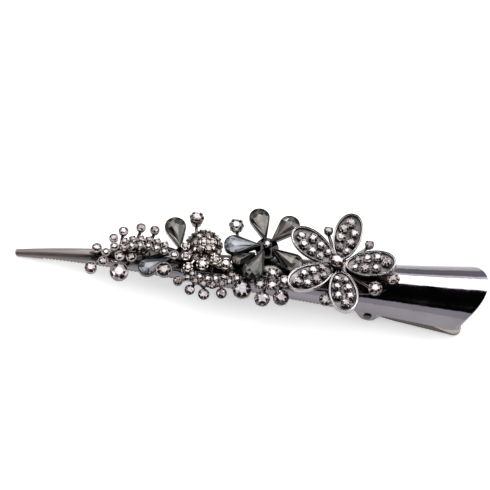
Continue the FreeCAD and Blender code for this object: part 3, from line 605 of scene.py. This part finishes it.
# inset and height of a dish, from its outer foot over the double lip and in across the floor
DISH = [(0.25, 0.0), (0.02, 0.06), (0.0, 0.5), (-0.02, 1.1), (0.0, 1.28), (0.06, 1.38), (0.13, 1.37),
        (0.19, 1.26), (0.22, 1.08), (0.30, 1.0), (0.36, 1.04), (0.42, 1.12), (0.48, 1.1),
        (0.53, 0.98), (0.60, 0.6), (0.85, 0.50), (2.0, 0.47), (3.2, 0.46)]
LIP_RINGS = 12                # rings of faces from the foot that are painted bright, as a highlight
BEAD_RADIUS = 0.23
BEADS = 5                     # round each stone
BEAD_OUT = 0.51               # from the stone's middle to its beads, in diameters


def egg(inset, height):
    """The outline of a pave petal."""
    length = PETAL_LENGTH - 2 * inset
    half = PETAL_HALF_WIDTH - inset
    points = []
    for i in range(PETAL_STEPS):
        a = TURN * i / PETAL_STEPS
        along = math.cos(a)
        points.append((PETAL_MIDDLE + length / 2 * along, half * math.sin(a) * (0.975 + 0.12 * along),
                       height))
    return np.array(points)


def bead(radius):
    """A small rounded bead of metal, higher than wide."""
    rings = [np.array(circle(radius * w, radius * h, 8)) for w, h in
             ((0.9, -1.5), (1.0, 0.0), (0.86, 0.6), (0.5, 1.02), (0.16, 1.2))]
    return loft(rings)


def add_petals():
    """The pave petals: a thin lip and a second one inside it, both painted bright as a highlight, a floor painted
    dark as shade, and beads in the lip's bright plating.
    """
    blob, blob_faces = bead(BEAD_RADIUS)
    points, faces = loft([egg(inset, z) for inset, z in DISH])
    # slot 0, the lips, is painted bright as a highlight; slot 1, the recessed floor, is painted dark as shade
    slots = [0 if i < PETAL_STEPS * LIP_RINGS else 1 for i in range(len(faces))]
    for k, (name, direction) in enumerate(PETALS):
        build = Build()
        build.put(stand(local(points, PAVE, direction, PETAL_RISE)), faces, slots)
        node = "pave_petal_" + name
        for part in loose_parts(node + "_stones"):
            middle, axis, d = girdle_of(part)
            around = basis(axis)
            for i in range(BEADS):
                a = TURN * (i + 0.3 * k) / BEADS
                at = middle + around @ np.array([math.cos(a), math.sin(a), -0.02]) * d * BEAD_OUT
                build.put(blob, blob_faces, 0, at, around, MM)
        build.piece("dish_" + name, [petal_metal_painted_highlight, pit_metal_painted_shade], node, smooth=True)


# ---- the torsion spring ----

COIL_RADIUS = 1.4
COIL_PITCH = 0.8
COIL_STEPS = 32               # in a whole turn
WHOLE_TURNS = 6
UPPER_LEG = (50, 12.3)        # direction in degrees, and length
LOWER_LEG = (-17, 12.9)
COIL_WIRE = 0.34              # radius
LEG_WIRE = 0.33               # a hair thinner, so that where both lie it stays inside the coil's wire


def add_wire(name, path, radius, body):
    """A smooth round wire along a path of the design frame."""
    curve = bpy.data.curves.new(name, "CURVE")
    curve.dimensions = "3D"
    curve.bevel_depth = radius * MM
    curve.bevel_resolution = 4
    curve.use_fill_caps = True
    line = curve.splines.new("POLY")
    line.points.add(len(path) - 1)
    for point, at in zip(line.points, stand(path)):
        point.co = (*at, 1)
    line.use_smooth = True
    curve.materials.append(wire_metal)
    made = bpy.data.objects.new(name, curve)
    bpy.context.scene.collection.objects.link(made)
    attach(made, body)
    return made


def add_spring():
    """The torsion spring: the coil and upper leg stay with the top, and the lower leg, with the last
    eighth of a turn, goes with the lower jaw that it presses on."""
    start = 90 + LOWER_LEG[0]
    turns = (360 * WHOLE_TURNS + UPPER_LEG[0] - 90 - start) / 360
    height = turns * COIL_PITCH
    steps = int(turns * COIL_STEPS)
    path = []
    for step in range(steps + 1):
        a = math.radians(start + 360 * turns * step / steps)
        path.append((PIN[0] + COIL_RADIUS * math.cos(a), height * (0.5 - step / steps),
                     PIN[2] + COIL_RADIUS * math.sin(a)))
    path = np.array(path)

    def leg(end, direction, length):
        d = math.radians(direction)
        along = np.array([math.cos(d), 0, math.sin(d)])
        return [path[end] + along * length * t for t in (0.04, 0.3, 0.65, 1.0)]

    eighth = path[:COIL_STEPS // 8 + 1]
    coil = add_wire("spring_wire", np.concatenate([path, leg(-1, *UPPER_LEG)]), COIL_WIRE, TOP)
    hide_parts("torsion_spring")
    add_wire("spring_lower_leg", np.concatenate([leg(0, *LOWER_LEG)[::-1], eighth]), LEG_WIRE, "lower_jaw")


# ---- the scene ----

add_camera()
add_lights()
add_room()

jaw_metal = gunmetal("jaw_plating", (0.155, 0.146, 0.162), (0.20, 0.187, 0.204), 0.07, 1.2,
                     satin=(-0.052, -0.036))
# the lower jaw is painted much darker than the upper jaw, as the shade it lies in under it; its tarnish and
# scratches are real
lower_metal_painted_shade = gunmetal("lower_jaw_plating_painted_shade", (0.035, 0.030, 0.028), (0.075, 0.064, 0.060), 0.16, 1.6)
pin_metal = gunmetal("pin_plating", (0.03, 0.028, 0.028), (0.06, 0.056, 0.055), 0.12)
cast_metal = gunmetal("setting_plating", (0.055, 0.050, 0.049), (0.12, 0.108, 0.103), 0.16, 1.3)
claw_metal = gunmetal("claw_plating", (0.16, 0.14, 0.12), (0.32, 0.285, 0.25), 0.14)
# the petals' lips and beads and their floors are one plating, painted lighter as a highlight and darker as shade
petal_metal_painted_highlight = gunmetal("petal_plating_painted_highlight", (0.26, 0.25, 0.25), (0.36, 0.35, 0.35), 0.11)
pit_metal_painted_shade = gunmetal("pit_plating_painted_shade", (0.06, 0.055, 0.056), (0.14, 0.13, 0.13), 0.3, 1.4)
black_metal = gunmetal("black_plating", (0.007, 0.007, 0.008), (0.018, 0.017, 0.018), 0.14, 0.4)
wire_metal = gunmetal("spring_steel", (0.36, 0.36, 0.37), (0.46, 0.455, 0.46), 0.2)

# each stone's own tint, from black to light: a facet's painted reflection tone picks its colour here, so the dark
# colours are painted shade and the light ones painted reflections
CLEAR_TINT_AND_REFLECTIONS = [(0.0, (0.006, 0.004, 0.004)), (0.2, (0.020, 0.013, 0.012)), (0.4, (0.095, 0.057, 0.047)),
               (0.55, (0.205, 0.142, 0.132)), (0.7, (0.36, 0.285, 0.28)), (0.85, (0.57, 0.50, 0.525)),
               (1.0, (0.80, 0.77, 0.82))]
SMOKY_TINT_AND_REFLECTIONS = [(0.0, (0.003, 0.003, 0.003)), (0.35, (0.012, 0.0105, 0.010)), (0.6, (0.045, 0.039, 0.034)),
               (0.8, (0.115, 0.102, 0.088)), (1.0, (0.30, 0.28, 0.255))]
BLUE_TINT_AND_REFLECTIONS = [(0.0, (0.006, 0.007, 0.010)), (0.35, (0.05, 0.055, 0.07)), (0.6, (0.16, 0.17, 0.195)),
              (0.8, (0.28, 0.29, 0.32)), (1.0, (0.45, 0.47, 0.50))]
clear_stone = cut_stone("clear_stone", CLEAR_TINT_AND_REFLECTIONS, 1.45, 1500, 0.25)
smoky_stone = cut_stone("smoky_stone", SMOKY_TINT_AND_REFLECTIONS, 1.32, 420, 0.0)
blue_stone = cut_stone("blue_grey_stone", BLUE_TINT_AND_REFLECTIONS, 1.32, 420, 0.0)

METALS = {"upper_jaw": jaw_metal, "hinge_pin": pin_metal, "lower_jaw": lower_metal_painted_shade,
          "smoky_hub_frame": black_metal, "small_hub_frame": black_metal, "dome_frame": claw_metal}
for node, thing in NODES.items():
    metal = METALS.get(node, cast_metal)
    for place in thing.material_slots:
        place.material = metal
    if not thing.material_slots:
        thing.data.materials.append(metal)

add_spring()
add_crystals()
add_petals()

CLAWS = {"claw_cluster_stones": 8, "pave_hub_stones": 8, "far_setting_stones": 6, "dome_stones": 6,
         "smoky_hub_stones": 5}
FIRST_STONE_SEED = 10
for k, node in enumerate(sorted(n for n in NODES if n.endswith("_stones"))):
    add_stones(node, FIRST_STONE_SEED + k, CLAWS.get(node, 0))
add_floor()
